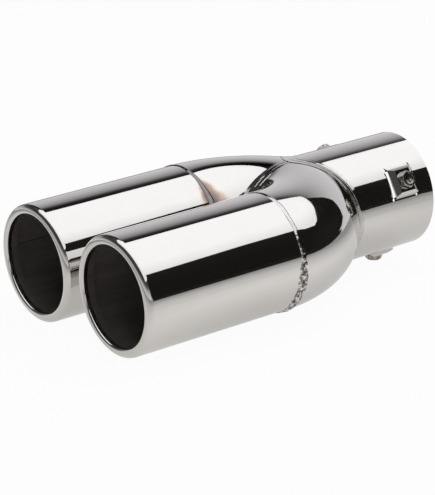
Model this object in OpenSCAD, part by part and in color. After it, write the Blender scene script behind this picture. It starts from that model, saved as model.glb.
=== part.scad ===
// Twin-outlet exhaust tip: two lipped outlet tubes, two mitred elbows and one inlet sleeve,
// welded together from stainless sheet, with three bolted clips that grip the tailpipe.
// The origin is the centre of the sleeve's open end. +Y leaves the sleeve towards the car,
// the outlets face -Y, and +Z is up.

/* [Whole tip] */
// Length from the outlet mouths to the sleeve's open end
overall_l = 261.5; // [250:0.5:300]
// Thickness of the stainless sheet
wall = 1.2; // [0.8:0.1:2]

/* [Outlet tubes] */
// Outside diameter of each outlet tube
outlet_d = 76; // [72:0.5:80]
// Gap between the two outlet tubes
outlet_gap = 10.4; // [8:0.2:16]
// Rounding where the outlet wall turns in at the mouth
lip_outer_r = 4; // [3:0.25:5]
// Rounding where the lip turns back into the tube
lip_inner_r = 2; // [1.5:0.25:3]
// Depth from the mouth to the cut edge of the turned-in lip
lip_depth = 9; // [6:0.5:15]

/* [Elbows] */
// Height of the step from each outlet tube out to its elbow
elbow_step = 0.3; // [0.2:0.1:1.5]
// Bend radius of each elbow's centreline
bend_r = 58; // [54:0.5:66]

/* [Inlet sleeve] */
// Length of the sleeve's two sides, from its open end to the elbows
sleeve_l = 65; // [60:0.5:80]
// Height of the step from the sleeve out to the elbows, at its top and bottom
sleeve_step = 0.2; // [0.2:0.1:1.2]

/* [Clips] */
// Angle of the first clip above the +X side, with the other two spaced evenly from it
clip_angle = 26; // [20:1:34]
// Distance of each clip's centre from the sleeve's open end: right, left and bottom
clip_setbacks = [23.8, 31, 18.5]; // [17:0.1:32]
// Length of each clip's raised pad along the sleeve
pad_l = 18.5; // [16:0.1:20]
// Width of each clip across the sleeve, between the ends of its slots
pad_w = 20.4; // [19:0.1:22]
// Height of the pad's face above the sleeve
pad_lift = 3.9; // [3.4:0.1:4.5]
// Extra radius of the strip's curve across the sleeve, past half the clip's width
strip_extra_r = 0.2; // [0.2:0.1:2]
// Length of the flat middle of the pad along the sleeve
pad_flat_l = 10.5; // [9:0.1:12]
// Drop of the pad's two free edges below its flat middle
pad_drop = 2.4; // [1.5:0.1:2.6]
// Outside radius of the bends beside the flat middle
pad_bend_r = 2; // [1.6:0.1:3]
// Width of the slots beside each pad
slot_w = 1.2; // [0.8:0.1:2]
// Diameter of the relief holes at the slot ends
relief_d = 2.4; // [2:0.1:3.5]

/* [Bolts and nuts] */
// Nominal thread diameter of the clamp bolts
bolt_d = 6; // [5:0.5:6]
// Width across the flats of the bolt heads and nuts
hex_af = 10; // [9:0.5:10]
// Height of the bolt heads
head_h = 4; // [3:0.1:5]
// Gap left between a bolt head and its pad
head_gap = 0.4; // [0.2:0.1:1]
// Diameter of the dish in the bolt head's face
dish_d = 7; // [6:0.1:7.5]
// Depth of that dish
dish_depth = 0.5; // [0.3:0.1:0.8]
// Width of each arm of the cross recess
cross_w = 1.2; // [0.8:0.1:1.5]
// Length of each arm of the cross recess, tip to tip
cross_l = 5; // [4:0.1:6]
// Depth of the cross recess below the dish
cross_depth = 1.4; // [1:0.1:2]
// Distance that the bolt tips stand back from the bore, as the tip is supplied
tip_setback = 0.4; // [0.2:0.1:0.8]
// Bevel at the corners of heads and nuts, and at the bolt tips
hex_bevel = 0.8; // [0.5:0.1:1]
// Height of the captive nuts
nut_h = 3.2; // [2.5:0.1:3.4]
// Radial clearance between bolt and nut threads
thread_gap = 0.05; // [0.02:0.01:0.1]
// Radial clearance of a bolt in the pad's hole
pad_hole_gap = 0.3; // [0.2:0.05:0.5]

/* [Welds] */
// Width of the ring bead where an outlet tube meets its elbow
bead_w = 4.4; // [3:0.1:6]
// Height of that bead above the outlet tube
bead_h = 1; // [0.6:0.1:1.5]
// Radius of the bead between the two elbows
crotch_bead_r = 2; // [1.5:0.1:3]
// Radius of the bead around the sleeve's fish-mouth end
sleeve_bead_r = 2.6; // [1.5:0.1:3]
// Height of those two beads where the sheets meet nearly level, at the top and the bottom
level_bead_h = 0.8; // [0.4:0.1:1.4]

/* [Hidden] */

$fn = 96;
// Smallest overshoot of a cut past the face that it opens
over = 1;
// Half the side of a block that is larger than the whole tip
block = 2 * overall_l;
// Sides of the round beads that follow a seam
bead_sides = 10;

steel = [0.80, 0.80, 0.81];
bead_steel = [0.62, 0.62, 0.64];
plated = [0.66, 0.64, 0.58];

outlet_r = outlet_d / 2;
elbow_r = outlet_r + elbow_step;
sleeve_r = elbow_r - sleeve_step;
bore_r = sleeve_r - wall;
outlet_x = outlet_r + outlet_gap / 2;

mouth_y = -overall_l;
// Bend centre of the right elbow, which lies past the middle plane
bend_x = outlet_x - bend_r;
// Where the elbows start, so that the sides of the sleeve meet them at the sleeve's length
weld_y = -sleeve_l - sqrt(pow(bend_r + elbow_r, 2) - pow(sleeve_r - bend_x, 2));
outlet_l = weld_y - mouth_y;
// Where the centrelines of the two elbows meet in the middle plane
crest_y = weld_y + sqrt(bend_r * bend_r - bend_x * bend_x);

clip_count = len(clip_setbacks);
pad_face = sleeve_r + pad_lift;
strip_r = pad_w / 2 + strip_extra_r;
// Distance from the sleeve's axis to the centre of the strip's curve, which leaves the
// sleeve's surface at the two ends of the slots
strip_x = sqrt(sleeve_r * sleeve_r - pad_w * pad_w / 4)
        - sqrt(strip_r * strip_r - pad_w * pad_w / 4);
head_seat = pad_face + head_gap;
nut_top = pad_face - wall;
// Turn of a nut on its bolt, which sets its flats along the two sides of the strip
nut_turn = 30;

// Ring of sheet bent from one direction to another: a quarter of a round tube wall
module quarter_wall(r) {
    intersection() {
        difference() {
            circle(r);
            circle(r - wall);
        }
        translate([0, -r]) square(r);
    }
}

// Section of one outlet tube: radius across, distance from the mouth upwards
module outlet_section() {
    lip_r = outlet_r - lip_outer_r;
    translate([outlet_r - wall, lip_outer_r]) square([wall, outlet_l - lip_outer_r]);
    translate([lip_r, lip_outer_r]) quarter_wall(lip_outer_r);
    translate([lip_r, lip_inner_r]) mirror([1, 0]) quarter_wall(lip_inner_r);
    translate([lip_r - lip_inner_r, lip_inner_r]) square([wall, lip_depth - lip_inner_r]);
}

module outlet_tube(side) {
    color(steel)
    translate([side * outlet_x, mouth_y, 0])
    rotate([-90, 0, 0])
    rotate_extrude() outlet_section();
}

// Quarter bend of the right elbow, solid when no inner radius is given
module bend(outer, inner = 0) {
    translate([bend_x, weld_y, 0])
    rotate_extrude(angle = 90)
    translate([bend_r, 0])
    difference() {
        circle(outer);
        if (inner > 0) circle(inner);
    }
}

// Keeps what lies on the right of the middle plane
module right_half() {
    intersection() {
        children();
        translate([0, -block, -block]) cube(2 * block);
    }
}

// Mirrors a right-hand piece for the left side
module on_side(side) {
    mirror([side < 0 ? 1 : 0, 0, 0]) children();
}

// Round bar on the sleeve's axis, from a place on it out past the open end
module sleeve_bar(r, from_y, to_y) {
    translate([0, from_y, 0]) rotate([-90, 0, 0]) cylinder(r = r, h = to_y - from_y);
}

module elbow(side) {
    color(steel)
    on_side(side)
    difference() {
        right_half() bend(elbow_r, elbow_r - wall);
        sleeve_bar(bore_r, crest_y, over);
    }
}

// Places a piece in a clip's own frame: X out through the bolt, Y along the sleeve
module at_clip(i) {
    rotate([0, -clip_angle - i * 360 / clip_count, 0])
    translate([0, -clip_setbacks[i], 0])
    children();
}

// Outline of the pad seen across the sleeve, with its free edges sloping down from two bends
module pad_outline(inset, length) {
    r = pad_bend_r - inset;
    slope = atan(2 * pad_drop / (pad_l - pad_flat_l));
    bend = [pad_face - pad_bend_r, pad_flat_l / 2];
    level = bend + [r, 0];
    leave = bend + r * [cos(slope), sin(slope)];
    end = [leave.x - (length / 2 - leave.y) * tan(slope), length / 2];
    half = [[0, end.y], end, leave, level];
    for (s = [-1, 1]) translate([bend.x, s * bend.y]) circle(r);
    polygon(concat(half, [for (i = [len(half) - 1:-1:0]) [half[i].x, -half[i].y]]));
}

// Solid under the skin of a clip's raised strip
module strip_core(inset, length) {
    intersection() {
        translate([strip_x, -length / 2, 0]) rotate([-90, 0, 0])
            cylinder(r = strip_r - inset, h = length);
        translate([0, 0, -strip_r]) linear_extrude(2 * strip_r) pad_outline(inset, length);
        translate([strip_x, -length, -block]) cube([block, 2 * length, 2 * block]);
    }
}

// The two slots that free the strip, with their relief holes
module clip_slots() {
    slot_y = (pad_l + slot_w) / 2;
    for (s = [-1, 1]) translate([sleeve_r / 2, s * slot_y, 0]) {
        translate([0, -slot_w / 2, -pad_w / 2]) cube([sleeve_r, slot_w, pad_w]);
        for (e = [-1, 1]) translate([0, 0, e * pad_w / 2]) rotate([0, 90, 0])
            cylinder(d = relief_d, h = sleeve_r);
    }
}

module inlet_sleeve() {
    color(steel)
    difference() {
        union() {
            sleeve_bar(sleeve_r, crest_y, 0);
            for (i = [0:clip_count - 1]) at_clip(i) strip_core(0, pad_l);
        }
        sleeve_bar(bore_r, crest_y - over, over);
        for (side = [-1, 1]) on_side(side) right_half() bend(elbow_r);
        for (i = [0:clip_count - 1]) at_clip(i) {
            strip_core(wall, pad_l + slot_w);
            clip_slots();
            rotate([0, 90, 0]) cylinder(r = bolt_d / 2 + pad_hole_gap, h = pad_face + over);
        }
    }
}

// Low round bead around the joint of an outlet tube and its elbow, lying on both
module outlet_weld(side) {
    bead_r = (bead_w * bead_w / 4 + bead_h * bead_h) / (2 * bead_h);
    color(bead_steel)
    on_side(side)
    difference() {
        translate([outlet_x, weld_y, 0]) rotate([-90, 0, 0]) rotate_extrude()
        intersection() {
            translate([outlet_r + bead_h - bead_r, 0]) circle(bead_r);
            translate([outlet_r - wall, -bead_w / 2]) square([wall + bead_h, bead_w]);
        }
        translate([outlet_x, mouth_y, 0]) rotate([-90, 0, 0])
            cylinder(r = outlet_r, h = outlet_l);
        right_half() bend(elbow_r);
    }
}

function unit(v) = v / norm(v);

// Points of a round bead around a path, one ring at a time
function bead_points(path, ahead, out, r, sides) = [
    for (i = [0:len(path) - 1])
        let (t = unit(ahead[i]),
             n = unit(out[i] - (out[i] * t) * t),
             m = cross(t, n))
        for (k = [0:sides - 1])
            let (a = 360 * k / sides) path[i] + r * (cos(a) * n + sin(a) * m)];

// Triangles between each ring and the next
function bead_skin(rings, sides, closed) = [
    for (i = [0:rings - (closed ? 1 : 2)], k = [0:sides - 1])
        let (a = i * sides + k,
             b = i * sides + (k + 1) % sides,
             c = ((i + 1) % rings) * sides + (k + 1) % sides,
             d = ((i + 1) % rings) * sides + k)
        each [[a, c, b], [a, d, c]]];

function bead_caps(rings, sides) = [
    [for (k = [0:sides - 1]) k],
    [for (k = [sides - 1:-1:0]) (rings - 1) * sides + k]];

// Middle of the sleeve's bead, at an angle around it: the line where the outside of an elbow
// leaves the outside of the sleeve, drawn in towards the top and the bottom
function sleeve_seam(b) =
    let (x = sleeve_r * cos(b),
         z = sleeve_r * sin(b),
         rho = bend_r + sqrt(elbow_r * elbow_r - z * z),
         across = abs(x) - bend_x,
         kept = 1 - (sleeve_bead_r - level_bead_h) * sin(b) * sin(b) / sleeve_r)
    [kept * x, weld_y + sqrt(rho * rho - across * across), kept * z];

module sleeve_weld() {
    rings = 120;
    step = 360 / rings;
    angles = [for (i = [0:rings - 1]) i * step];
    path = [for (b = angles) sleeve_seam(b)];
    ahead = [for (b = angles) sleeve_seam(b + step) - sleeve_seam(b - step)];
    out = [for (b = angles) [cos(b), 0, sin(b)]];
    color(bead_steel)
    difference() {
        polyhedron(bead_points(path, ahead, out, sleeve_bead_r, bead_sides),
                   bead_skin(rings, bead_sides, true), convexity = 6);
        sleeve_bar(bore_r, weld_y, over);
    }
}

// Middle of the bead between the elbows, at an angle around their section: the line where
// their outsides meet in the middle plane, drawn in towards the top and the bottom
function crotch_seam(a) =
    let (r = elbow_r - (crotch_bead_r - level_bead_h) * sin(a) * sin(a),
         rho = bend_r + r * cos(a))
    [0, weld_y + sqrt(rho * rho - bend_x * bend_x), r * sin(a)];

module crotch_weld() {
    rings = 60;
    top = asin(sleeve_r / elbow_r);
    step = (360 - 2 * top) / (rings - 1);
    angles = [for (i = [0:rings - 1]) top + i * step];
    path = [for (a = angles) crotch_seam(a)];
    ahead = [for (a = angles) crotch_seam(a + step / 2) - crotch_seam(a - step / 2)];
    out = [for (a = angles) [1, 0, 0]];
    color(bead_steel)
    difference() {
        polyhedron(bead_points(path, ahead, out, crotch_bead_r, bead_sides),
                   concat(bead_skin(rings, bead_sides, false), bead_caps(rings, bead_sides)),
                   convexity = 6);
        sleeve_bar(bore_r, crest_y, over);
    }
}

// Hexagonal bar along X with bevelled corners at its far end
module hex_bar(h) {
    corner_r = hex_af / sqrt(3);
    rotate([0, 90, 0])
    intersection() {
        cylinder(r = corner_r, h = h, $fn = 6);
        union() {
            cylinder(r = corner_r + over, h = h - hex_bevel / 2);
            translate([0, 0, h - hex_bevel / 2])
                cylinder(r1 = corner_r, r2 = corner_r - hex_bevel, h = hex_bevel / 2);
        }
    }
}

module clamp_nut(i) {
    color(plated)
    at_clip(i)
    difference() {
        translate([nut_top - nut_h, 0, 0]) rotate([nut_turn, 0, 0]) hex_bar(nut_h);
        rotate([0, 90, 0]) cylinder(r = bolt_d / 2 + thread_gap, h = nut_top + over);
    }
}

// Short hexagon bolt with a dished, cross-recessed head; its tip stands back from the bore
module clamp_bolt(i) {
    bolt_r = bolt_d / 2;
    tip = bore_r + tip_setback;
    head_top = head_seat + head_h;
    color(plated)
    at_clip(i) {
        difference() {
            translate([head_seat, 0, 0]) hex_bar(head_h);
            translate([head_top - dish_depth, 0, 0]) rotate([0, 90, 0])
                cylinder(d = dish_d, h = dish_depth + over);
            for (turn = [0, 90]) rotate([turn, 0, 0])
                translate([head_top - dish_depth - cross_depth, -cross_l / 2, -cross_w / 2])
                    cube([cross_depth + over, cross_l, cross_w]);
        }
        rotate([0, 90, 0]) {
            translate([0, 0, tip]) cylinder(r1 = bolt_r - hex_bevel, r2 = bolt_r, h = hex_bevel);
            translate([0, 0, tip + hex_bevel])
                cylinder(r = bolt_r, h = head_seat - tip - hex_bevel);
        }
    }
}

outlet_tube(1);  // outlet_tube_right
outlet_tube(-1);  // outlet_tube_left
elbow(1);  // elbow_right
elbow(-1);  // elbow_left
inlet_sleeve();
outlet_weld(1);  // outlet_weld_right
outlet_weld(-1);  // outlet_weld_left
crotch_weld();
sleeve_weld();
clamp_nut(0);  // clamp_nut_right
clamp_nut(1);  // clamp_nut_left
clamp_nut(2);  // clamp_nut_bottom
clamp_bolt(0);  // clamp_bolt_right
clamp_bolt(1);  // clamp_bolt_left
clamp_bolt(2);  // clamp_bolt_bottom
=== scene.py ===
import math

import bmesh
import bpy
from mathutils import Matrix, Vector


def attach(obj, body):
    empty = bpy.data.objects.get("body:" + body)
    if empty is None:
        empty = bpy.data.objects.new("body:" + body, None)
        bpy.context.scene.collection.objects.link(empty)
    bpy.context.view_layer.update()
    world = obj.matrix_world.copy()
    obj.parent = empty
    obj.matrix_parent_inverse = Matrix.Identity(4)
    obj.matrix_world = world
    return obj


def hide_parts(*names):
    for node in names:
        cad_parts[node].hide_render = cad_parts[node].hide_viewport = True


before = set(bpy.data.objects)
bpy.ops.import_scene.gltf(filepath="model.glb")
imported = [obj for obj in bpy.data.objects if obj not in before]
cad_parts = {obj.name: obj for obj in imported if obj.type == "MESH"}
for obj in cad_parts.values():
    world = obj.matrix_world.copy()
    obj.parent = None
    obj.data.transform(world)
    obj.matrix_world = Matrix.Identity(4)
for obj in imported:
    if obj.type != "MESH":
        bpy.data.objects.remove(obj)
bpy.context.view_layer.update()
mm = 0.001

# the photograph's own view, found from the tubes' outlines
photoView = {
    "width": 435,
    "height": 495,
    "focalPixels": 2222.5,
    "azimuth": 54.0,
    "elevation": 18.52,
    "roll": -3.27,
    "place": (1.08573, -0.93952, 0.44373),
    "sensor": 36.0,
    "clipStart": 0.05,
}


def addCamera(view):
    azimuth, elevation, roll = (math.radians(view[n]) for n in ("azimuth", "elevation", "roll"))
    back = Vector((
        math.sin(azimuth) * math.cos(elevation),
        -math.cos(azimuth) * math.cos(elevation),
        math.sin(elevation),
    ))
    level = Vector((math.cos(azimuth), math.sin(azimuth), 0))
    upright = back.cross(level)
    right = level * math.cos(roll) + upright * math.sin(roll)
    up = upright * math.cos(roll) - level * math.sin(roll)
    bpy.ops.object.camera_add(location=view["place"])
    camera = bpy.context.object
    camera.name = "photoCamera"
    camera.rotation_euler = Matrix((right, up, back)).transposed().to_euler()
    camera.data.sensor_fit = "AUTO"
    camera.data.sensor_width = view["sensor"]
    camera.data.lens = view["focalPixels"] * view["sensor"] / view["height"]
    camera.data.clip_start = view["clipStart"]
    bpy.context.scene.camera = camera
    bpy.context.scene.view_settings.view_transform = "Standard"


# one value on its way between nodes: arithmetic on it adds the Math nodes
class Wire:
    def __init__(self, finish, socket):
        self.finish = finish
        self.socket = socket

    def maths(self, operation, *values):
        return self.finish.node("ShaderNodeMath", {"operation": operation}, dict(enumerate(values)))

    def __add__(self, other):
        return self.maths("ADD", self, other)

    def __sub__(self, other):
        return self.maths("SUBTRACT", self, other)

    def __rsub__(self, other):
        return self.maths("SUBTRACT", other, self)

    def __mul__(self, other):
        return self.maths("MULTIPLY", self, other)

    def __truediv__(self, other):
        return self.maths("DIVIDE", self, other)

    def __pow__(self, other):
        return self.maths("POWER", self, other)

    def __gt__(self, other):
        return self.maths("GREATER_THAN", self, other)

    def __lt__(self, other):
        return self.maths("LESS_THAN", self, other)

    def largest(self, other):
        return self.maths("MAXIMUM", self, other)

    def size(self):
        return self.maths("ABSOLUTE", self)

    # distance from the origin in the plane of this value and another
    def reach(self, other):
        return (self * self + other * other) ** 0.5

    # 0 below low, 1 above high, smooth between
    def rise(self, low, high):
        return self.finish.node(
            "ShaderNodeMapRange", {"interpolation_type": "SMOOTHSTEP"},
            {"Value": self, "From Min": low, "From Max": high})

    __radd__ = __add__
    __rmul__ = __mul__


# the nodes of a material or of the world
class Nodes:
    def __init__(self, tree):
        self.tree = tree

    def node(self, kind, settings=None, sockets=None, output=0):
        made = self.tree.nodes.new(kind)
        for name, value in (settings or {}).items():
            if name == "stops":
                self.setStops(made.color_ramp, value)
            else:
                setattr(made, name, value)
        for name, value in (sockets or {}).items():
            self.join(value, made.inputs[name])
        return Wire(self, made.outputs[output])

    def setStops(self, ramp, stops):
        while len(ramp.elements) < len(stops):
            ramp.elements.new(0.5)
        for element, (place, colour) in zip(ramp.elements, stops):
            element.position = place
            element.color = (*colour, 1)

    def join(self, value, socket):
        if isinstance(value, Wire):
            self.tree.links.new(value.socket, socket)
        else:
            socket.default_value = value

    # the three parts of the Object coordinates, or of the direction in the world
    def axes(self, output="Object"):
        point = self.node("ShaderNodeTexCoord", output=output)
        return [self.node("ShaderNodeSeparateXYZ", sockets={0: point}, output=i) for i in range(3)]

    def noise(self, scale, detail=2, rough=0.5, stretch=(1, 1, 1)):
        point = self.node("ShaderNodeTexCoord", output="Object")
        mapped = self.node("ShaderNodeMapping", sockets={"Vector": point, "Scale": stretch})
        return self.node("ShaderNodeTexNoise", sockets={
            "Vector": mapped, "Scale": scale, "Detail": detail, "Roughness": rough})

    # noise that swings about zero
    def sway(self, *shape):
        return self.noise(*shape) - 0.5

    def ramp(self, share, *stops):
        return self.node("ShaderNodeValToRGB", {"stops": stops}, {0: share})

    # a colour, and a darker shade of it where the share is low
    def mottle(self, share, colour, shade, places):
        low, high = places
        return self.ramp(share, (low, shaded(colour, shade)), (high, colour))

    def blend(self, share, one, other):
        return self.node("ShaderNodeMix", {"data_type": "RGBA"}, {0: share, 6: one, 7: other}, 2)

    def bump(self, height, distance):
        return self.node("ShaderNodeBump", sockets={"Height": height, "Distance": distance})


class Finish(Nodes):
    def __init__(self, name, **fixed):
        self.material = bpy.data.materials.new(name)
        self.material.use_nodes = True
        super().__init__(self.material.node_tree)
        self.shader = self.tree.nodes["Principled BSDF"]
        self.feed(**fixed)

    # inputs by name, with spaces written as capitals: baseColor, roughness
    def feed(self, **inputs):
        for name, value in inputs.items():
            title = "".join(" " + c if c.isupper() else c for c in name)
            self.join(value, self.shader.inputs[title.title()])


def rgb(*value):
    return (*value, 1.0)


def shaded(colour, share):
    return [part * share for part in colour]


def clamped(value, lowest=0):
    return min(1, max(lowest, value))


# the tubes' own sizes, as the solids have them
tubes = {
    "weldY": -145.469 * mm,
    "outletX": 43.2 * mm,
    "outletRadius": 38.0 * mm,
    "elbowRadius": 38.3 * mm,
    "bendRadius": 58.0 * mm,
    "bendX": -14.8 * mm,
    "sleeveRadius": 38.1 * mm,
    "skin": 0.7 * mm,  # deeper than this under the outside is the inside
    "lipEnd": -252.4 * mm,  # cut edge of the turned-in lip
    "lipFaceRadius": 32.5 * mm,
    "lipFaceLength": 5 * mm,
}

# here and below a noise is its scale, its detail and, where it isn't 0.5, its roughness
steel = {
    "polished": (0.685, 0.668, 0.645),
    "cloudNoise": (60, 3),
    "cloudShade": 0.985,
    "cloudPlaces": (0.35, 0.65),
    "polishedRoughness": 0.035,
    "smudgeNoise": (9, 4),
    "smudgeEdge": (0.5, 0.8),
    "smudgeRoughness": 0.03,
    "waveNoise": (22, 1),
    "waveHeight": 0.035 * mm,
    "mill": (0.18, 0.16, 0.152),
    "grainNoise": (260, 2),
    "grainStretch": (1, 0.04, 1),
    "grainShade": 0.7,
    "grainPlaces": (0.3, 0.7),
    "millRoughness": 0.42,
    # dark places inside: the lengthwise seam of both outlet tubes, and painted shade on the lip's
    # own inner face
    "dark": (0.05, 0.045, 0.04),
    "seamHeight": 2.0 * mm,
    "seamWidth": 0.45 * mm,
    "seamBeyond": 60 * mm,
    "seamShare": 0.8,
    "lipShadeShare": 0.6,
}

# marks on the left tube and elbow, on their side towards the other tube
heatMarks = {
    "low": 18 * mm,
    "high": 38 * mm,
    "taper": 0.3,
    "foot": (-20 * mm, 0),
    "sideways": (-44 * mm, -30 * mm),
    "outletReach": 7 * mm,
    "elbowReach": 17 * mm,
    "leastReach": 2 * mm,
    "seamBlend": 1 * mm,
    "lobeNoise": (110, 3),
    "lobes": 0.9,
    "edge": (0.4, 1.0),
    "share": 0.95,
    "colours": (
        (0.1, (0.14, 0.11, 0.11)), (0.32, (0.30, 0.22, 0.18)), (0.52, (0.47, 0.34, 0.27)),
        (0.72, (0.66, 0.51, 0.40)), (1.0, (0.72, 0.65, 0.56))),
}


# heat marks run out from one weld as a wedge, wide below and narrow above
def addHeat(f, colour, place, heat):
    x, y, z = place
    along = y - tubes["weldY"]
    low = 1 - z.rise(heat["low"], heat["high"])
    onElbow = along.rise(-heat["seamBlend"], heat["seamBlend"])
    further = heat["elbowReach"] - heat["outletReach"]
    reach = low * (heat["outletReach"] + onElbow * further) + heat["leastReach"]
    spot = along.size() / reach + f.sway(*heat["lobeNoise"]) * heat["lobes"]
    side = low.rise(0, heat["taper"]) * z.rise(*heat["foot"]) * x.rise(*heat["sideways"])
    hot = (1 - spot.rise(*heat["edge"])) * side * heat["share"]
    return f.blend(hot, colour, f.ramp(spot, *heat["colours"]))


# polished sheet outside and dull sheet inside
def steelFinish(name, insideOf, heat=None):
    s = steel
    f = Finish(name)
    x, y, z = f.axes()
    inside = insideOf(x, y, z)
    clouds = f.noise(*s["cloudNoise"])
    colour = f.mottle(clouds, s["polished"], s["cloudShade"], s["cloudPlaces"])
    if heat:
        colour = addHeat(f, colour, (x, y, z), heat)
    grain = f.noise(*s["grainNoise"], stretch=s["grainStretch"])
    dull = f.mottle(grain, s["mill"], s["grainShade"], s["grainPlaces"])
    seam = (z - s["seamHeight"]).size() < s["seamWidth"]
    seam = seam * (x.size() > s["seamBeyond"]) * s["seamShare"]
    # a dark line along the seam, and painted shade over the lip's inner face
    dark = seam.largest((y < tubes["lipEnd"]) * s["lipShadeShare"])
    dull = f.blend(dark, dull, rgb(*s["dark"]))
    smudge = f.noise(*s["smudgeNoise"]).rise(*s["smudgeEdge"])
    polish = s["polishedRoughness"] + smudge * s["smudgeRoughness"]
    f.feed(
        metallic=1 - inside,
        baseColor=f.blend(inside, colour, dull),
        roughness=polish * (1 - inside) + inside * s["millRoughness"],
        normal=f.bump(f.noise(*s["waveNoise"]), s["waveHeight"]),
    )
    return f.material


def insideOutlet(x, y, z):
    out = (x.size() - tubes["outletX"]).reach(z)
    wall = (out < tubes["outletRadius"] - tubes["skin"]) * (y > tubes["lipEnd"])
    # the lip's inner face takes the dull inside sheet, with painted shade over it
    face = (out < tubes["lipFaceRadius"]) * (y > tubes["lipEnd"] - tubes["lipFaceLength"])
    return wall.largest(face)


def insideElbow(x, y, z):
    arc = (x.size() - tubes["bendX"]).reach(y - tubes["weldY"]) - tubes["bendRadius"]
    return arc.reach(z) < tubes["elbowRadius"] - tubes["skin"]


def insideSleeve(x, y, z):
    return x.reach(z) < tubes["sleeveRadius"] - tubes["skin"]


groundWeld = {
    "speckNoise": (420, 3),
    "colours": ((0.3, (0.5, 0.48, 0.46)), (0.7, (0.68, 0.66, 0.63))),
    "roughness": 0.05,
    "speckRoughness": 0.06,
    "streakNoise": (260, 2),
    "sleeveStretch": (1, 1, 1),
    "sleeveDepth": 0.06 * mm,
    # along the crotch the metal is streaked
    "crotchStretch": (1.3, 0.2, 0.2),
    "crotchDepth": 0.35 * mm,
}


# ground weld metal, with streaks where its pattern is stretched along a seam
def weldMetal(name, stretch, depth):
    w = groundWeld
    f = Finish(name, metallic=1.0)
    speck = f.noise(*w["speckNoise"])
    f.feed(baseColor=f.ramp(speck, *w["colours"]),
           roughness=w["roughness"] + speck * w["speckRoughness"],
           normal=f.bump(f.noise(*w["streakNoise"], stretch=stretch), depth))
    return f.material


ringWeld = {
    "upperWithPaintedShade": {1: (0.68, 0.66, 0.63), -1: (0.26, 0.235, 0.235)},  # polished metal on the right; on the left the same metal darkened with painted shade
    "speckNoise": (380, 4, 0.65),
    "upperShade": 0.8,
    "upperPlaces": (0.3, 0.7),
    "rough": (-4 * mm, 16 * mm),  # rough below, polished above
    "raggedNoise": (90, 2),
    "ragged": 20 * mm,
    "scorch": ((0.4, (0.06, 0.055, 0.05)), (0.5, (0.3, 0.28, 0.27)), (0.6, (0.85, 0.83, 0.8))),
    "rim": (1.0 * mm, 1.9 * mm),
    "rimColour": (0.07, 0.06, 0.06),
    "rimShare": 0.85,
    "roughness": 0.05,
    "scorchRoughness": 0.1,
    "lumpNoise": (320, 3, 0.6),
    "depth": 0.9 * mm,
    "upperDepth": 0.15,
}


# ring bead: polished flat above, left rough and dark at the side and below
def ringMetal(name, side):
    w = ringWeld
    f = Finish(name, metallic=1.0)
    y, z = f.axes()[1:]
    rough = 1 - (z + f.sway(*w["raggedNoise"]) * w["ragged"]).rise(*w["rough"])
    speck = f.noise(*w["speckNoise"])
    # the left bead's polished top is a darker copy: painted shade
    bright = f.mottle(speck, w["upperWithPaintedShade"][side], w["upperShade"], w["upperPlaces"])
    rim = (y - tubes["weldY"]).size().rise(*w["rim"]) * (1 - rough)
    bright = f.blend(rim * w["rimShare"], bright, rgb(*w["rimColour"]))
    height = f.noise(*w["lumpNoise"]) * (rough * (1 - w["upperDepth"]) + w["upperDepth"])
    f.feed(baseColor=f.blend(rough, bright, f.ramp(speck, *w["scorch"])),
           roughness=w["roughness"] + rough * w["scorchRoughness"],
           normal=f.bump(height, w["depth"]))
    return f.material


plating = {
    "speckNoise": (600, 4, 0.65),
    "colours": ((0.38, (0.13, 0.12, 0.10)), (0.5, (0.40, 0.38, 0.33)), (0.62, (0.56, 0.54, 0.48))),
    "roughness": 0.14,
    "speckRoughness": 0.12,
    "grainNoise": (900, 2),
    "depth": 0.05 * mm,
}


# speckled zinc on the bolts and nuts
def platedBolt():
    p = plating
    f = Finish("platedBolt", metallic=1.0)
    speck = f.noise(*p["speckNoise"])
    f.feed(baseColor=f.ramp(speck, *p["colours"]),
           roughness=p["roughness"] + speck * p["speckRoughness"],
           normal=f.bump(f.noise(*p["grainNoise"]), p["depth"]))
    return f.material


def addPiece(name, data):
    piece = bpy.data.objects.new(name, data)
    bpy.context.scene.collection.objects.link(piece)
    return piece


# skins a closed section that is carried along a seam, one ring of points at a time
def skinRings(name, rings, closed):
    mesh = bmesh.new()
    rows = [[mesh.verts.new(point) for point in ring] for ring in rings]
    for one, other in zip(rows, rows[1:] + rows[:1] if closed else rows[1:]):
        for k in range(len(one)):
            mesh.faces.new((one[k - 1], one[k], other[k], other[k - 1]))
    if not closed:
        mesh.faces.new(rows[0])
        mesh.faces.new(rows[-1])
    bmesh.ops.recalc_face_normals(mesh, faces=mesh.faces)
    data = bpy.data.meshes.new(name)
    mesh.to_mesh(data)
    mesh.free()
    return addPiece(name, data)


def choose(piece):
    bpy.ops.object.select_all(action="DESELECT")
    piece.select_set(True)
    bpy.context.view_layer.objects.active = piece


def applyModifier(piece, kind, **settings):
    choose(piece)
    modifier = piece.modifiers.new(kind.title(), kind)
    for name, value in settings.items():
        setattr(modifier, name, value)
    bpy.ops.object.modifier_apply(modifier=modifier.name)


# raises and lowers a bead's skin in lumps
def roughen(piece, b, group="", detail=2):
    lumps = bpy.data.textures.new(piece.name + "Lumps", "CLOUDS")
    lumps.noise_scale = b["lumpSize"]
    lumps.noise_depth = detail
    applyModifier(piece, "DISPLACE", texture=lumps, strength=b["lumpHeight"], mid_level=0.5,
                  texture_coords="LOCAL", vertex_group=group)


# smooths a finished piece up to an angle and puts it in its node's place
def settle(piece, node, finish, angle=50):
    choose(piece)
    bpy.ops.object.shade_smooth_by_angle(angle=math.radians(angle))
    piece.data.materials.clear()
    piece.data.materials.append(finish)
    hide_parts(node)
    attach(piece, "root")


# shared by the two fillets
fillet = {
    # where a bead that widens starts to, and over what height
    "wideBelow": 36 * mm,
    "wideOver": 10 * mm,
    "otherWide": 0.3,
    "ridgeWander": 1.3,
    "wanders": 3,
}


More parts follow.
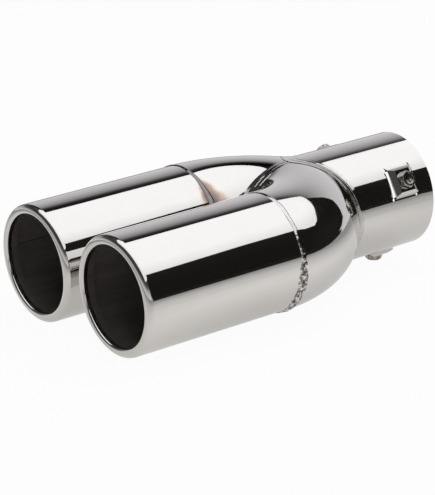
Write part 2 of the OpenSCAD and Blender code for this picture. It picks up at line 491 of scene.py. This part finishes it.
# section of a fillet: from one sheet to the other over the seam, and back under both; its
# face carries the few soft ridges that grinding along the seam leaves
def filletSection(seam, alongOne, alongOther, out, b, angle):
    one, other = b["reaches"]
    deep = clamped((fillet["wideBelow"] - abs(seam.z)) / fillet["wideOver"]) * b["widening"]
    start = seam + alongOne * one * (1 + deep)
    end = seam + alongOther * other * (1 + deep * fillet["otherWide"])
    filled = seam.lerp((start + end) / 2, b["fill"])
    wander = fillet["ridgeWander"] * math.sin(angle * fillet["wanders"])
    top = []
    for i in range(b["points"]):
        t = i / (b["points"] - 1)
        point = start * (1 - t) ** 2 + filled * (2 * t * (1 - t)) + end * t ** 2
        ridge = math.sin(math.tau * b["ridges"] * t + wander) * math.sin(math.pi * t)
        top.append(point + out * (b["lift"] + b["ridgeHeight"] * (1 + deep) * ridge))
    return top + [end - out * b["sink"], seam - out * b["sink"], start - out * b["sink"]]


# which way the outside of the right or left elbow faces at a point on it
def elbowNormal(point, side):
    flat = Vector((point.x - side * tubes["bendX"], point.y - tubes["weldY"], 0))
    centre = point + flat.normalized() * (tubes["bendRadius"] - flat.length)
    bendCentre = Vector((side * tubes["bendX"], tubes["weldY"], 0))
    middle = bendCentre + flat.normalized() * tubes["bendRadius"]
    return (point - middle).normalized()


sleeveBead = {
    "stations": 240,
    "points": 25,
    "reaches": (5.0 * mm, 6.0 * mm),
    "widening": 0,
    "fill": 0,
    "lift": 0.12 * mm,
    "sink": 0.45 * mm,
    "ridges": 2.5,
    "ridgeHeight": 0.13 * mm,
    "lumpSize": 7 * mm,
    "lumpHeight": 0.3 * mm,
}


def sleeveSeam(angle):
    x = tubes["sleeveRadius"] * math.cos(angle)
    z = tubes["sleeveRadius"] * math.sin(angle)
    ring = tubes["bendRadius"] + math.sqrt(tubes["elbowRadius"] ** 2 - z * z)
    across = abs(x) - tubes["bendX"]
    return Vector((x, tubes["weldY"] + math.sqrt(ring * ring - across * across), z))


def addSleeveBead(b):
    rings = []
    step = math.tau / b["stations"]
    for i in range(b["stations"]):
        angle = (i + 0.5) * step
        seam = sleeveSeam(angle)
        ahead = (sleeveSeam(angle + step) - sleeveSeam(angle - step)).normalized()
        sleeveOut = Vector((math.cos(angle), 0, math.sin(angle)))
        elbowOut = elbowNormal(seam, 1 if seam.x > 0 else -1)
        onSleeve = sleeveOut.cross(ahead).normalized()
        onSleeve *= math.copysign(1, onSleeve.y)
        onElbow = elbowOut.cross(ahead).normalized()
        onElbow *= -math.copysign(1, onElbow.y)
        out = (sleeveOut + elbowOut).normalized()
        rings.append(filletSection(seam, onSleeve, onElbow, out, b, angle))
    piece = skinRings("sleeveBead", rings, True)
    roughen(piece, b)
    return piece


crotchBead = {
    "stations": 120,
    "points": 17,
    "reaches": (4.2 * mm, 3.2 * mm),
    "widening": 1.1,
    "fill": 1.8,
    "lift": 0.06 * mm,
    "sink": 0.45 * mm,
    "ridges": 2,
    "ridgeHeight": 0.12 * mm,
    "lumpSize": 4 * mm,
    "lumpHeight": 0.3 * mm,
}


def crotchSeam(angle):
    ring = tubes["bendRadius"] + tubes["elbowRadius"] * math.cos(angle)
    return Vector((0, tubes["weldY"] + math.sqrt(ring * ring - tubes["bendX"] ** 2),
                   tubes["elbowRadius"] * math.sin(angle)))


def addCrotchBead(b):
    rings = []
    top = math.asin(tubes["sleeveRadius"] / tubes["elbowRadius"])
    step = (math.tau - 2 * top) / (b["stations"] - 1)
    for i in range(b["stations"]):
        angle = top + i * step
        seam = crotchSeam(angle)
        ahead = (crotchSeam(angle + step / 2) - crotchSeam(angle - step / 2)).normalized()
        sides = [elbowNormal(seam, side).cross(ahead).normalized() for side in (1, -1)]
        onRight, onLeft = [s * math.copysign(1, s.x) * side for s, side in zip(sides, (1, -1))]
        out = sum((elbowNormal(seam, side) for side in (1, -1)), Vector()).normalized()
        rings.append(filletSection(seam, onRight, onLeft, out, b, angle))
    piece = skinRings("crotchBead", rings, False)
    roughen(piece, b)
    return piece


ringBead = {
    "steps": 260,
    "points": 13,
    "width": 6.8 * mm,
    "height": 0.85 * mm,
    # share of the width and height that is left on top
    "topShares": {1: 0.4, -1: 0.25},
    "topHeight": 0.35,
    # how much of the bead is wide at middle height, and how fast that changes with height
    "spread": {1: (0.55, 2.2), -1: (1.1, 1.0)},
    "elbowStep": 0.3 * mm,
    "root": 0.3 * mm,
    # waves around the tube, and how far they shift the bead
    "slowDrift": (5, 0.25 * mm),
    "quickDrift": (13, 0.15 * mm),
    "lumpSize": 2.0 * mm,
    "lumpHeight": 1.6 * mm,
    "lumpsBelow": 18 * mm,
    "lumpsOver": 26 * mm,
    "leastLumps": 0.1,
}


# section of a ring bead at an angle around its tube
def ringSection(side, b, angle):
    out = Vector((math.cos(angle), 0, math.sin(angle)))
    centre = Vector((side * tubes["outletX"], tubes["weldY"], 0))
    (slowWaves, slow), (quickWaves, quick) = b["slowDrift"], b["quickDrift"]
    drift = math.sin(angle * slowWaves + side) * slow + math.sin(angle * quickWaves) * quick
    level, fall = b["spread"][side]
    low = clamped(level - math.sin(angle) * fall)
    topShare = b["topShares"][side]
    wide = b["width"] / 2 * (topShare + (1 - topShare) * low)
    high = b["height"] * (b["topHeight"] + (1 - b["topHeight"]) * low)

    def at(share, radius):
        return centre + out * radius + Vector((0, share * wide + drift, 0))

    section = []
    for k in range(b["points"]):
        share = k / (b["points"] - 1) * 2 - 1
        lift = high * (1 - share * share) + b["elbowStep"] * (share + 1) / 2
        section.append(at(share, tubes["outletRadius"] + lift))
    under = tubes["outletRadius"] - b["root"]
    return section + [at(1, under), at(-1, under)]


# bead around an outlet tube where its elbow starts
def addRingBead(side, b):
    rings = [ringSection(side, b, math.tau * i / b["steps"]) for i in range(b["steps"])]
    piece = skinRings("ringBead" + ("Right" if side > 0 else "Left"), rings, True)
    rough = piece.vertex_groups.new(name="rough")
    for vertex in piece.data.vertices:
        share = clamped((b["lumpsBelow"] - vertex.co.z) / b["lumpsOver"], b["leastLumps"])
        rough.add([vertex.index], share, "REPLACE")
    roughen(piece, b, "rough")
    return piece


bolt = {
    # turn of the first clip above the +X side, and each clip's distance from the open end
    "turn": 26.0,
    "between": 120.0,
    "setbacks": (23.8 * mm, 31 * mm, 18.5 * mm),
    "seat": 42.4 * mm,
    "height": 4.0 * mm,
    "corner": 10 * mm / math.sqrt(3),  # radius to the corners, for 10 mm across flats
    # cone that bevels the head's corners: how far it stands out below and in on top
    "coneHeight": 4.8 * mm,
    "coneFoot": 3.4 * mm,
    "coneTop": 0.85 * mm,
    "coneSteps": 64,
    "dish": 3.5 * mm,
    "dishDepth": 0.5 * mm,
    "dishSteps": 48,
    # cross recess: width and length of an arm, and depth
    "cross": (1.2 * mm, 5 * mm, 1.4 * mm),
    "overshoot": 0.4 * mm,
    "edge": 0.18 * mm,
    "edgeSteps": 2,
    "edgeAngle": 35,
    "smoothAngle": 30,
    "shank": 3.0 * mm,
    "tip": 37.3 * mm,
    "tipBevel": (0.2 * mm, 0.3 * mm),
    "pitch": 1.0 * mm,
    "threadDepth": 0.5 * mm,
    "crestDrop": 0.05 * mm,
    "threadSteps": 32,
    "mergeReach": 1e-6,
}


def cut(piece, tool, operation):
    applyModifier(piece, "BOOLEAN", object=tool, operation=operation, solver="EXACT")
    bpy.data.objects.remove(tool)


# one bolt along Z, as far out from the sleeve's axis as it stands in its clip
def addBolt(b):
    top = b["seat"] + b["height"]
    bpy.ops.object.select_all(action="DESELECT")
    bpy.ops.mesh.primitive_cylinder_add(vertices=6, radius=b["corner"], depth=b["height"],
                                        location=(0, 0, top - b["height"] / 2))
    head = bpy.context.object
    bpy.ops.mesh.primitive_cone_add(
        vertices=b["coneSteps"], depth=b["coneHeight"], location=(0, 0, top - b["coneHeight"] / 2),
        radius1=b["corner"] + b["coneFoot"], radius2=b["corner"] - b["coneTop"])
    cut(head, bpy.context.object, "INTERSECT")
    bpy.ops.object.transform_apply(location=True)
    bpy.ops.mesh.primitive_cylinder_add(vertices=b["dishSteps"], radius=b["dish"],
                                        depth=b["dishDepth"] * 2, location=(0, 0, top))
    cut(head, bpy.context.object, "DIFFERENCE")
    wide, long, deep = b["cross"]
    middle = top - b["dishDepth"] - deep / 2 + b["overshoot"] / 2
    for size in ((wide, long), (long, wide)):
        bpy.ops.mesh.primitive_cube_add(size=1, location=(0, 0, middle),
                                        scale=(*size, deep + b["overshoot"]))
        cut(head, bpy.context.object, "DIFFERENCE")
    applyModifier(head, "BEVEL", width=b["edge"], segments=b["edgeSteps"],
                  limit_method="ANGLE", angle_limit=math.radians(b["edgeAngle"]))
    thread = addThread(b)
    choose(head)
    thread.select_set(True)
    bpy.ops.object.join()
    return head


# shank with its thread's grooves, turned round from a zigzag line that starts at the tip
def addThread(b):
    root = b["shank"] - b["threadDepth"]
    across, along = b["tipBevel"]
    end = b["seat"] + b["overshoot"]
    line = [(0, 0, b["tip"]), (root - across, 0, b["tip"])]
    level = b["tip"] + along
    while level + b["pitch"] < b["seat"]:
        line += [(root, 0, level), (b["shank"] - b["crestDrop"], 0, level + b["pitch"] / 2)]
        level += b["pitch"]
    line += [(root, 0, level), (root, 0, end), (0, 0, end)]
    data = bpy.data.meshes.new("thread")
    data.from_pydata(line, [(i, i + 1) for i in range(len(line) - 1)], [])
    piece = addPiece("thread", data)
    applyModifier(piece, "SCREW", steps=b["threadSteps"], render_steps=b["threadSteps"],
                  use_merge_vertices=True, merge_threshold=b["mergeReach"])
    bpy.ops.object.mode_set(mode="EDIT")
    bpy.ops.mesh.select_all(action="SELECT")
    bpy.ops.mesh.normals_make_consistent(inside=False)
    bpy.ops.object.mode_set(mode="OBJECT")
    return piece


# a copy of the bolt, turned from its own Z to its clip's way out of the sleeve
def placeBolt(pattern, index, b):
    angle = math.radians(b["turn"] + b["between"] * index)
    data = pattern.data.copy()
    outward = Vector((math.cos(angle), 0, math.sin(angle)))
    around = Vector((-math.sin(angle), 0, math.cos(angle)))
    turn = Matrix((Vector((0, 1, 0)), around, outward)).transposed().to_4x4()
    data.transform(Matrix.Translation((0, -b["setbacks"][index], 0)) @ turn)
    return addPiece("clampBolt" + ("Right", "Left", "Bottom")[index], data)


steels = {
    "outlet_tube_right": steelFinish("rightTubeSteel", insideOutlet),
    "outlet_tube_left": steelFinish("leftTubeSteel", insideOutlet, heatMarks),
    "elbow_right": steelFinish("rightElbowSteel", insideElbow),
    "elbow_left": steelFinish("leftElbowSteel", insideElbow, heatMarks),
    "inlet_sleeve": steelFinish("sleeveSteel", insideSleeve),
}
plated = platedBolt()
for name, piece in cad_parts.items():
    piece.data.materials.clear()
    piece.data.materials.append(steels.get(name, plated))
print("solids are finished")

settle(addSleeveBead(sleeveBead), "sleeve_weld",
       weldMetal("sleeveWeldMetal", groundWeld["sleeveStretch"], groundWeld["sleeveDepth"]))
settle(addCrotchBead(crotchBead), "crotch_weld",
       weldMetal("crotchWeldMetal", groundWeld["crotchStretch"], groundWeld["crotchDepth"]))
for side, node, finish in ((1, "outlet_weld_right", "rightRingMetal"),
                           (-1, "outlet_weld_left", "leftRingMetal")):
    settle(addRingBead(side, ringBead), node, ringMetal(finish, side))
print("beads are laid")

pattern = addBolt(bolt)
for index, node in enumerate(("clamp_bolt_right", "clamp_bolt_left", "clamp_bolt_bottom")):
    settle(placeBolt(pattern, index, bolt), node, plated, bolt["smoothAngle"])
bpy.data.objects.remove(pattern)
print("bolts are set")

studio = {
    "tipMiddle": 0.13,  # distance of the tip's middle from the origin, towards -Y
    "floorSize": 24.0,
    # where the tip rests, as (y, z): the mouths' lower edges and the bottom bolt
    "restNear": (-257.5 * mm, -38.1 * mm),
    "restFar": (-18.5 * mm, -46.7 * mm),
    "paper": (0.9, 0.9, 0.89),
    "paperRoughness": 0.9,
    # how white the floor is to the camera, and how much of it a mirrored ray sees
    "seenShare": 0.95,
    "mirroredShare": 0.75,
    # painted light on the mirrored floor: its brightness by distance from the tip, in metres
    "paintedFloorFalloff": ((0.14, 1.0), (0.3, 0.64), (0.6, 0.3), (0.9, 0.27)),
    "floorTint": (1, 0.99, 0.975),
    # painted shadow: the mirrored floor is darker right under the tip, in an oval
    "underShade": 0.72,
    "underWidth": 0.09,
    "underLength": 0.17,
    "underEdge": (0.6, 1.5),
    # outline of the overhead softbox as (x, y), in shares of its height
    "boxHeight": 3.0,
    "boxGlow": 1.36,
    "boxMiddle": 0.45,
    "boxReach": (1.1, 1.25),
    "boxColours": ((0.45, (0.99, 1.0, 1.02)), (0.95, (0.82, 0.825, 0.84))),
    "boxCorners": (
        (-0.7, -0.6), (-0.74, 0.3), (-0.68, 0.45), (-0.59, 0.6), (-0.57, 0.79), (-0.52, 1.06),
        (-0.27, 1.16), (0, 1.29), (0.3, 1.42), (0.65, 1.66), (0.93, 1.72), (1.03, 1.3),
        (0.97, 0.95), (0.95, 0.87), (1.5, 0.35), (1.6, -0.6)),
    # black cards, their corners as (azimuth, height angle) seen from the tip
    "card": (0.018, 0.0155, 0.0145),
    "cardRoughness": 0.9,
    "wallDistance": 6.5,
    "wallCorners": (
        (-20, 50), (-20, 43), (-12, 20), (-2, 6), (12, 0.3), (80, 0.3), (80, 50)),
    "flagDistance": 0.9,
    "flagCorners": (
        (10, 1), (12, -1), (30, -3.5), (45, -4.5), (50, -8.5), (58, -10), (75, -11), (75, 1)),
    # pale backdrop on the left, by the cosine of the angle from its middle
    "backdropWay": (-0.421, 0.903, 0.087),
    "backdrop": ((0.68, 0.05), (0.74, 0.35), (0.78, 0.72), (0.86, 0.84), (0.98, 0.9)),
    "backdropTint": (1, 0.98, 1.02),
    # and how it fades with height
    "backdropFade": (
        (0.0, 0.9), (0.17, 0.84), (0.34, 0.78), (0.42, 0.7), (0.5, 0.58), (0.574, 0.42),
        (0.61, 0.26), (0.64, 0.13), (0.67, 0.05), (1.0, 0.04)),
    # the room behind the camera, by height, and how it gives way to the backdrop towards +Y
    "room": (
        (0.0, 0.78), (0.12, 0.66), (0.27, 0.4), (0.36, 0.1), (0.6, 0.04), (0.85, 0.1), (1.0, 0.1)),
    "roomEdge": (0.0, 0.35),
}


# ramp stops from places and levels, all in one tint
def levels(stops, tint=(1, 1, 1)):
    return [(place, shaded(tint, level)) for place, level in stops]


# a stage board that mirrored rays see and the camera doesn't
def addBoard(name, corners, material, lights):
    data = bpy.data.meshes.new(name)
    data.from_pydata([tuple(c) for c in corners], [], [list(range(len(corners)))])
    board = addPiece(name, data)
    board.data.materials.append(material)
    board.visible_camera = False
    board.visible_diffuse = lights
    board.visible_shadow = False


# corners given by azimuth from +Y and height angle, on an upright plane at a distance
def onWall(corners, distance, tipMiddle):
    middle = math.radians(sum(a for a, _ in corners) / len(corners))
    facing = Vector((math.sin(middle), math.cos(middle), 0))
    placed = []
    for azimuth, height in corners:
        a, h = math.radians(azimuth), math.radians(height)
        way = Vector((math.sin(a) * math.cos(h), math.cos(a) * math.cos(h), math.sin(h)))
        placed.append(way * (distance / way.dot(facing)) - Vector((0, tipMiddle, 0)))
    return placed


# white paper, tilted to touch the tip where it rests
def addFloor(s):
    (nearY, nearZ), (farY, farZ) = s["restNear"], s["restFar"]
    slope = (farZ - nearZ) / (farY - nearY)
    bpy.ops.object.select_all(action="DESELECT")
    bpy.ops.mesh.primitive_plane_add(size=s["floorSize"], location=(0, 0, nearZ - slope * nearY),
                                     rotation=(math.atan(slope), 0, 0))
    floor = bpy.context.object
    floor.name = "studioFloor"
    paper = Finish("floorPaper", roughness=s["paperRoughness"], baseColor=rgb(*s["paper"]))
    x, y = paper.axes()[:2]
    y = y + s["tipMiddle"]
    seen = paper.node("ShaderNodeLightPath", output="Is Camera Ray")
    mirrored = paper.node("ShaderNodeLightPath", output="Is Glossy Ray").largest(
        paper.node("ShaderNodeLightPath", output="Is Transmission Ray"))
    # painted pool of light on the mirrored floor, brightest near the tip
    level = paper.ramp(x.reach(y), *levels(s["paintedFloorFalloff"], s["floorTint"]))
    # painted shadow under the tip, in an oval
    away = (x / s["underWidth"]).reach(y / s["underLength"]).rise(*s["underEdge"])
    shade = away * (1 - s["underShade"]) + s["underShade"]
    level = paper.blend(shade, rgb(0, 0, 0), level)
    glow = paper.node("ShaderNodeEmission", sockets={
        "Color": paper.blend(seen, level, rgb(1, 1, 1))})
    mixed = paper.node("ShaderNodeMixShader", sockets={
        0: seen * s["seenShare"] + mirrored * s["mirroredShare"],
        1: Wire(paper, paper.shader.outputs[0]), 2: glow})
    paper.join(mixed, paper.tree.nodes["Material Output"].inputs["Surface"])
    floor.data.materials.append(paper.material)


# white to the camera; mirrored rays see the backdrop ahead and the room behind the camera
def addRoom(s):
    world = bpy.data.worlds.new("studioRoom")
    bpy.context.scene.world = world
    world.use_nodes = True
    room = Nodes(world.node_tree)
    x, y, z = room.axes("Generated")
    east, north, up = s["backdropWay"]
    sideways = room.ramp(x * east + y * north + z * up,
                         *levels(s["backdrop"], s["backdropTint"]))
    backdrop = room.node("ShaderNodeMix", {"data_type": "RGBA", "blend_type": "MULTIPLY"}, {
        0: 1.0, 6: sideways, 7: room.ramp(z, *levels(s["backdropFade"]))}, 2)
    around = room.blend(y.rise(*s["roomEdge"]), room.ramp(z, *levels(s["room"])), backdrop)
    seen = room.node("ShaderNodeLightPath", output="Is Camera Ray")
    room.join(room.blend(seen, around, rgb(1, 1, 1)),
              room.tree.nodes["Background"].inputs["Color"])


def addBoards(s):
    h = s["boxHeight"]
    cloth = Finish("softboxCloth", baseColor=rgb(0, 0, 0), emissionStrength=s["boxGlow"])
    x, y = cloth.axes()[:2]
    across, along = s["boxReach"]
    edge = (x / (h * across)).reach((y / h - s["boxMiddle"]) / along)
    cloth.feed(emissionColor=cloth.ramp(edge, *s["boxColours"]))
    addBoard("overheadSoftbox", [(x * h, y * h, h) for x, y in s["boxCorners"]],
             cloth.material, True)
    black = Finish("blackCard", roughness=s["cardRoughness"], baseColor=rgb(*s["card"]))
    for name, part in (("darkWall", "wall"), ("lowFlag", "flag")):
        corners = onWall(s[part + "Corners"], s[part + "Distance"], s["tipMiddle"])
        addBoard(name, corners, black.material, False)


addCamera(photoView)
addFloor(studio)
addRoom(studio)
addBoards(studio)
print("studio is set")
